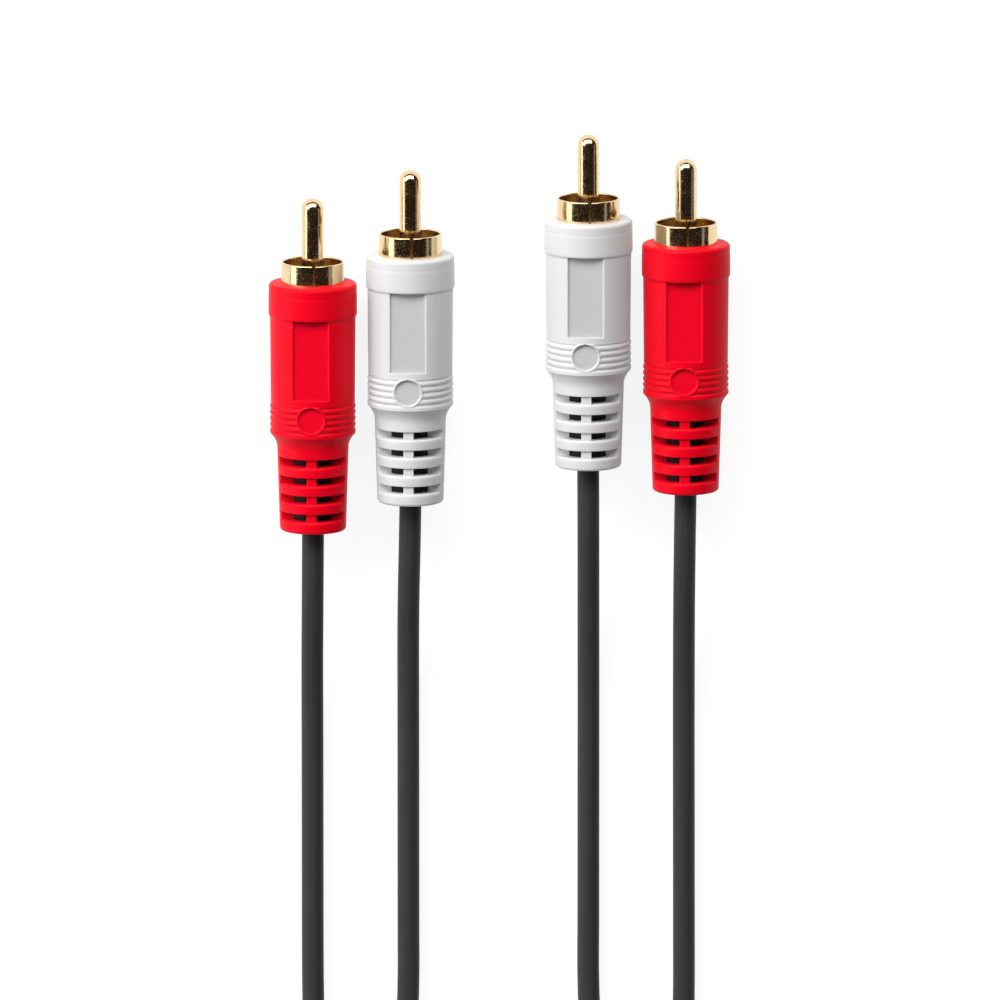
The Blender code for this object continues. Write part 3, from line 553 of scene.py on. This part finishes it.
def make_tie():
    """A flat plastic tie with a wire in it: a band round the winding and its twisted ends on top.

    The band is a ribbed section carried round a rectangle with quarter-circle corners; the
    ends are a thin lozenge carried along the middle turn and twisted two and a half times.
    """
    inner, outer, low, high, bend = 28.85, 39.15, 0.3, 14.4, 1.1
    corner = np.radians(np.linspace(0, 90, 7))
    spots = []
    for number, (radial, rise) in enumerate([(outer - bend, high - bend), (inner + bend, high - bend),
                                             (inner + bend, low + bend), (outer - bend, low + bend)]):
        turn = corner + number * math.pi / 2
        spots.append(np.stack([0 * turn, COIL_Y - radial - bend * np.cos(turn), rise + bend * np.sin(turn)],
                              axis=-1))
    path = np.concatenate(spots)
    middle = path.mean(axis=0)
    outward = path - middle
    width = np.array([-2.0, -1.9, -0.6, -0.35, 0, 0.35, 0.6, 1.9, 2.0, 1.9, 0, -1.9])
    height = np.array([0.0, 0.16, 0.16, 0.3, 0.42, 0.3, 0.16, 0.16, 0.0, -0.12, -0.12, -0.12])
    flat = outward / np.linalg.norm(outward, axis=1, keepdims=True)
    rings = path[:, None] + flat[:, None] * height[None, :, None]
    rings[..., 0] += width[None, :]
    band = skin("coil_tie_band", rings, loop=True)
    dress(band, "tie_plastic", "tie_plastic", "coil_tie")
    travel = np.linspace(0, 1, 60)
    angle = np.radians(270 + 3.0 + 24 * travel)
    radius = COIL_RADII[1]
    rise = TIE_TOP + 0.1 * travel
    line = np.stack([radius * np.cos(angle), COIL_Y + radius * np.sin(angle), rise], axis=-1)
    line[:6, 2] -= np.linspace(0.4, 0, 6)
    section = np.stack([np.array([-0.7, -0.65, 0.65, 0.7, 0.65, -0.65]),
                        np.array([0.0, 0.22, 0.22, 0.0, -0.22, -0.22])], axis=-1)
    ends = skin("coil_tie_ends", carried(line, section[None], 900 * travel))
    dress(ends, "tie_plastic", "tie_plastic")


# Finishes

def linear(hex_code):
    """An sRGB hex colour as the linear colour that a shader's socket takes."""
    parts = [int(hex_code[i:i + 2], 16) / 255 for i in (1, 3, 5)]
    return tuple(p / 12.92 if p <= 0.04045 else ((p + 0.055) / 1.055) ** 2.4 for p in parts) + (1,)


def node(tree, kind, sockets=None, **settings):
    """Adds a shader node: settings are its own, and a socket gets a value or another node's output."""
    made = tree.nodes.new("ShaderNode" + kind)
    for name, value in settings.items():
        setattr(made, name, value)
    for name, value in (sockets or {}).items():
        if isinstance(value, bpy.types.NodeSocket):
            tree.links.new(value, made.inputs[name])
        else:
            made.inputs[name].default_value = value
    return made


def blank(name, **constants):
    """A new material: its tree and its Principled shader, with the constant sockets set."""
    made = bpy.data.materials.new(name)
    made.use_nodes = True
    shader = made.node_tree.nodes["Principled BSDF"]
    for socket, value in constants.items():
        shader.inputs[socket.replace("_", " ")].default_value = value
    return made, made.node_tree, shader


def per(millimetres):
    """Scale of a noise pattern on Object coordinates whose lumps are this wide."""
    return 1000.0 / millimetres


def moulded_plastic(name, light, deep, rough, shine=0.5, soften=0.0, floor=None, bounce=None):
    """Moulded plastic: colour clouded by a few mm, a faint orange peel and uneven gloss.

    Where a floor colour is given, the sunk floors take it and are polished smoother, as the
    mould's marked places are; the floor colour is painted shade on the white boots, a shade
    darker than the plastic, and painted light on the red ones, a touch paler to lift the
    recess's shade. A bounce colour is what neighbours are lit with, so that each plug stays
    free of its neighbour's colour.
    """
    made, tree, shader = blank(name, Specular_IOR_Level=shine, Subsurface_Weight=soften,
                               Subsurface_Scale=0.0006)
    place = node(tree, "TexCoord").outputs["Object"]
    cloud = node(tree, "TexNoise", {"Vector": place, "Scale": per(6), "Detail": 3.0})
    peel = node(tree, "TexNoise", {"Vector": place, "Scale": per(0.35), "Detail": 2.0})
    sink = node(tree, "TexNoise", {"Vector": place, "Scale": per(3.5), "Detail": 1.0})
    tint = node(tree, "Mix", {0: cloud.outputs["Fac"], 6: linear(deep), 7: linear(light)}, data_type="RGBA")
    gloss = node(tree, "MapRange", {"Value": peel.outputs["Fac"], "To Min": rough - 0.05,
                                    "To Max": rough + 0.06})
    # Painted shade and light: the sunk floors take the floor colour in place of the plastic's own
    if floor:
        sunk = node(tree, "Attribute", attribute_name="sunk_floor").outputs["Fac"]
        tint = node(tree, "Mix", {0: sunk, 6: tint.outputs[2], 7: linear(floor)}, data_type="RGBA")
        smooth = node(tree, "MapRange", {"Value": sunk, "To Min": 1.0, "To Max": 0.6})
        gloss = node(tree, "MapRange", {"Value": gloss.outputs["Result"], "To Max": smooth.outputs["Result"]})
    if bounce:
        rays = node(tree, "LightPath").outputs
        tint = node(tree, "Mix", {0: rays["Is Diffuse Ray"], 6: tint.outputs[2], 7: linear(bounce)},
                    data_type="RGBA")
    tree.links.new(tint.outputs[2], shader.inputs["Base Color"])
    tree.links.new(gloss.outputs["Result"], shader.inputs["Roughness"])
    wave = node(tree, "Bump", {"Strength": 0.35, "Distance": 0.00003, "Height": sink.outputs["Fac"]})
    skin_bump = node(tree, "Bump", {"Strength": 0.3, "Distance": 0.000008, "Height": peel.outputs["Fac"],
                                    "Normal": wave.outputs["Normal"]})
    tree.links.new(skin_bump.outputs["Normal"], shader.inputs["Normal"])
    return made


def gold_plated_brass():
    """Thin bright gold on turned brass: tool rings round the axis, cloudy dulling and fine matt specks.

    Real tool rings and specks are under 0.05 mm; both are drawn at 0.16 mm and more so that
    they show.
    """
    made, tree, shader = blank("gold_plated_brass", Metallic=1.0)
    place = node(tree, "TexCoord").outputs["Object"]
    stretched = node(tree, "Mapping", {"Vector": place, "Scale": (0.12, 1.0, 0.12)})
    rings = node(tree, "TexNoise", {"Vector": stretched.outputs["Vector"], "Scale": per(0.16), "Detail": 3.0})
    cloud = node(tree, "TexNoise", {"Vector": place, "Scale": per(1.2), "Detail": 3.0})
    tint = node(tree, "Mix", {0: cloud.outputs["Fac"], 6: linear("#E3C08C"), 7: linear("#F2DDB6")},
                data_type="RGBA")
    tree.links.new(tint.outputs[2], shader.inputs["Base Color"])
    dull = node(tree, "MapRange", {"Value": cloud.outputs["Fac"], "From Min": 0.35, "From Max": 0.7,
                                   "To Min": 0.09, "To Max": 0.2})
    grit = node(tree, "TexNoise", {"Vector": place, "Scale": per(0.17), "Detail": 2.0, "Roughness": 0.7})
    speck = node(tree, "MapRange", {"Value": grit.outputs["Fac"], "From Min": 0.56, "From Max": 0.7,
                                    "To Max": 0.26})
    rough = node(tree, "Math", {0: dull.outputs["Result"], 1: speck.outputs["Result"]}, operation="ADD")
    tree.links.new(rough.outputs[0], shader.inputs["Roughness"])
    bump = node(tree, "Bump", {"Strength": 0.25, "Distance": 0.000004, "Height": rings.outputs["Fac"]})
    tree.links.new(bump.outputs["Normal"], shader.inputs["Normal"])
    return made


def cord_jacket():
    """Extruded PVC jacket: dark grey, with faint streaks along the cord and a dull sheen."""
    made, tree, shader = blank("cord_jacket", Specular_IOR_Level=0.2)
    lie = node(tree, "UVMap", uv_map="lie").outputs["UV"]
    streak_lie = node(tree, "Mapping", {"Vector": lie, "Scale": (2.2, 0.03, 1.0)})
    streak = node(tree, "TexNoise", {"Vector": streak_lie.outputs["Vector"], "Scale": 1.0, "Detail": 2.0})
    place = node(tree, "TexCoord").outputs["Object"]
    grain = node(tree, "TexNoise", {"Vector": place, "Scale": per(0.3), "Detail": 3.0})
    tint = node(tree, "Mix", {0: streak.outputs["Fac"], 6: linear("#333334"), 7: linear("#434344")},
                data_type="RGBA")
    tree.links.new(tint.outputs[2], shader.inputs["Base Color"])
    gloss = node(tree, "MapRange", {"Value": grain.outputs["Fac"], "To Min": 0.46, "To Max": 0.62})
    tree.links.new(gloss.outputs["Result"], shader.inputs["Roughness"])
    along = node(tree, "Bump", {"Strength": 0.3, "Distance": 0.00002, "Height": streak.outputs["Fac"]})
    fine = node(tree, "Bump", {"Strength": 0.25, "Distance": 0.00001, "Height": grain.outputs["Fac"],
                               "Normal": along.outputs["Normal"]})
    tree.links.new(fine.outputs["Normal"], shader.inputs["Normal"])
    return made


def drawn_wire():
    """Bare copper strands: warm metal with fine lines along the wire."""
    made, tree, shader = blank("drawn_copper", Metallic=1.0)
    place = node(tree, "TexCoord").outputs["Object"]
    stretched = node(tree, "Mapping", {"Vector": place, "Scale": (1.0, 0.05, 1.0)})
    lines = node(tree, "TexNoise", {"Vector": stretched.outputs["Vector"], "Scale": per(0.12), "Detail": 2.0})
    tint = node(tree, "Mix", {0: lines.outputs["Fac"], 6: linear("#B4683F"), 7: linear("#E09A6E")},
                data_type="RGBA")
    tree.links.new(tint.outputs[2], shader.inputs["Base Color"])
    dull = node(tree, "MapRange", {"Value": lines.outputs["Fac"], "To Min": 0.25, "To Max": 0.42})
    tree.links.new(dull.outputs["Result"], shader.inputs["Roughness"])
    return made


FINISHES = {
    # Soft PVC overmould: deep and even, with a broad satin sheen and slightly glossier sunk floors;
    # the floor colours are painted shade on the white boots and painted light on the red ones
    "red_pvc_moulded": moulded_plastic("red_pvc_moulded", "#FF0022", "#FA0020", 0.45, shine=0.12,
                                       soften=0.05, floor="#FF0A2A", bounce="#B0A8A8"),
    "white_pvc_moulded": moulded_plastic("white_pvc_moulded", "#EBEBEC", "#E7E7E8", 0.45, shine=0.3,
                                         soften=0.05, floor="#D2D2D4"),
    # First moulding of hard PVC: near black and dull, seen only as dark windows
    "black_mould": moulded_plastic("black_mould", "#0C0C0D", "#080809", 0.55, shine=0.3),
    # Moulded polythene bush and extruded polythene dielectric: creamy and waxy
    "bush_moulded": moulded_plastic("bush_moulded", "#E2DCCB", "#D8D1BE", 0.45),
    "core_dielectric": moulded_plastic("core_dielectric", "#E4E2D8", "#DAD8CC", 0.5),
    # Extruded PVC tie: black with a low sheen
    "tie_plastic": moulded_plastic("tie_plastic", "#1D1D1F", "#161617", 0.45),
    "gold_plated_brass": gold_plated_brass(),
    "cord_jacket": cord_jacket(),
    "drawn_copper": drawn_wire(),
}


def dress(piece, finish, slot, *nodes):
    """Gives a new piece its material, lets it ride along and hides the nodes it stands for; its slot is not
    used.
    """
    piece.data.materials.append(FINISHES[finish])
    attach(piece, "root")
    if nodes:
        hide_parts(*nodes)


def dress_hidden_pieces():
    """Materials of the stripped ends, which stay as the frame's own pieces inside the plugs."""
    for plug in PLUGS:
        for part, finish in (("_core_conductor", "drawn_copper"), ("_core_insulation", "core_dielectric"),
                             ("_shield_wires", "drawn_copper")):
            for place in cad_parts[plug[0] + part].material_slots:
                place.material = FINISHES[finish]


# Stage

FLOOR_HALF = 6.0          # metres
FLOOR_PAINT = 0.34        # share of the floor's white that the lamps give, so that shadows show
FLOOR_GLOW = 0.84         # share that it has by itself
LAMP_DISTANCE = 1.2       # metres
LAMP_TARGET = (0, -0.02, 0)


def make_floor():
    """A plain white floor: seen as white by camera and reflections, kept darker where it is shaded."""
    side = FLOOR_HALF
    corners = [(-side, -side, 0), (side, -side, 0), (side, side, 0), (-side, side, 0)]
    mesh = bpy.data.meshes.new("floor")
    mesh.from_pydata(corners, [], [(0, 1, 2, 3)])
    floor = bpy.data.objects.new("floor", mesh)
    floor.location = (0, 0, -0.0001)
    bpy.context.collection.objects.link(floor)
    made = bpy.data.materials.new("floor_white")
    made.use_nodes = True
    tree = made.node_tree
    tree.nodes.clear()
    rays = node(tree, "LightPath").outputs
    seen = node(tree, "Math", {0: rays["Is Camera Ray"], 1: rays["Is Glossy Ray"]}, operation="MAXIMUM")
    seen = node(tree, "Math", {0: seen.outputs[0], 1: rays["Is Transmission Ray"]}, operation="MAXIMUM")
    plain = node(tree, "BsdfDiffuse", {"Color": linear("#E6E6E6")})
    shaded = node(tree, "BsdfDiffuse", {"Color": (FLOOR_PAINT, FLOOR_PAINT, FLOOR_PAINT, 1)})
    glow = node(tree, "Emission", {"Color": (1, 1, 1, 1), "Strength": FLOOR_GLOW})
    white = node(tree, "AddShader", {0: shaded.outputs[0], 1: glow.outputs[0]})
    both = node(tree, "MixShader", {0: seen.outputs[0], 1: plain.outputs[0], 2: white.outputs[0]})
    out = node(tree, "OutputMaterial", {"Surface": both.outputs[0]})
    out.is_active_output = True
    mesh.materials.append(made)


def soft_lamp(name, turn, height, size, watts):
    """A rectangular soft lamp facing the plugs: its turn from +X and its height, in degrees."""
    lamp = bpy.data.lights.new(name, "AREA")
    lamp.shape = "RECTANGLE"
    lamp.size, lamp.size_y = size
    lamp.energy = watts
    made = bpy.data.objects.new(name, lamp)
    turn, height = math.radians(turn), math.radians(height)
    level = math.cos(height)
    place = LAMP_DISTANCE * Vector((math.cos(turn) * level, math.sin(turn) * level, math.sin(height)))
    made.location = place
    made.rotation_mode = "QUATERNION"
    made.rotation_quaternion = (Vector(LAMP_TARGET) - place).to_track_quat("-Z", "Y")
    bpy.context.collection.objects.link(made)


def make_lights():
    """Soft lamps at the left, before the plugs' tips and over the cords, and a faint one at the right.

    Nothing bright hangs overhead and the room is dim, so that the round gold pieces show a
    dark brown middle between pale sides.
    """
    soft_lamp("lamp_left", 180, 16, (1.5, 0.5), 4.4)
    soft_lamp("lamp_left_tips", 143, 35, (1.0, 0.6), 8.0)
    soft_lamp("lamp_tips", 90, 40, (1.5, 0.7), 12.2)
    soft_lamp("lamp_cords", -90, 30, (1.3, 0.5), 2.6)
    soft_lamp("lamp_right", -10, 24, (0.9, 0.2), 0.2)
    world = bpy.data.worlds.new("studio_room")
    bpy.context.scene.world = world
    world.use_nodes = True
    world.node_tree.nodes.clear()
    room = node(world.node_tree, "Background", {"Color": (1.0, 0.75, 0.52, 1), "Strength": 0.02})
    node(world.node_tree, "OutputWorld", {"Surface": room.outputs[0]})


# The whole lead

lengths = [make_leg(plug) for plug in PLUGS] + [make_twin()]
for plug in PLUGS:
    make_boot(plug)
    make_core(plug)
    make_ring(plug)
    make_bush(plug)
    make_pin(plug)
make_tie()
dress_hidden_pieces()
make_floor()
make_lights()
bpy.context.scene.view_settings.view_transform = "Standard"

print("cord lengths (mm):", [round(length, 1) for length in lengths])
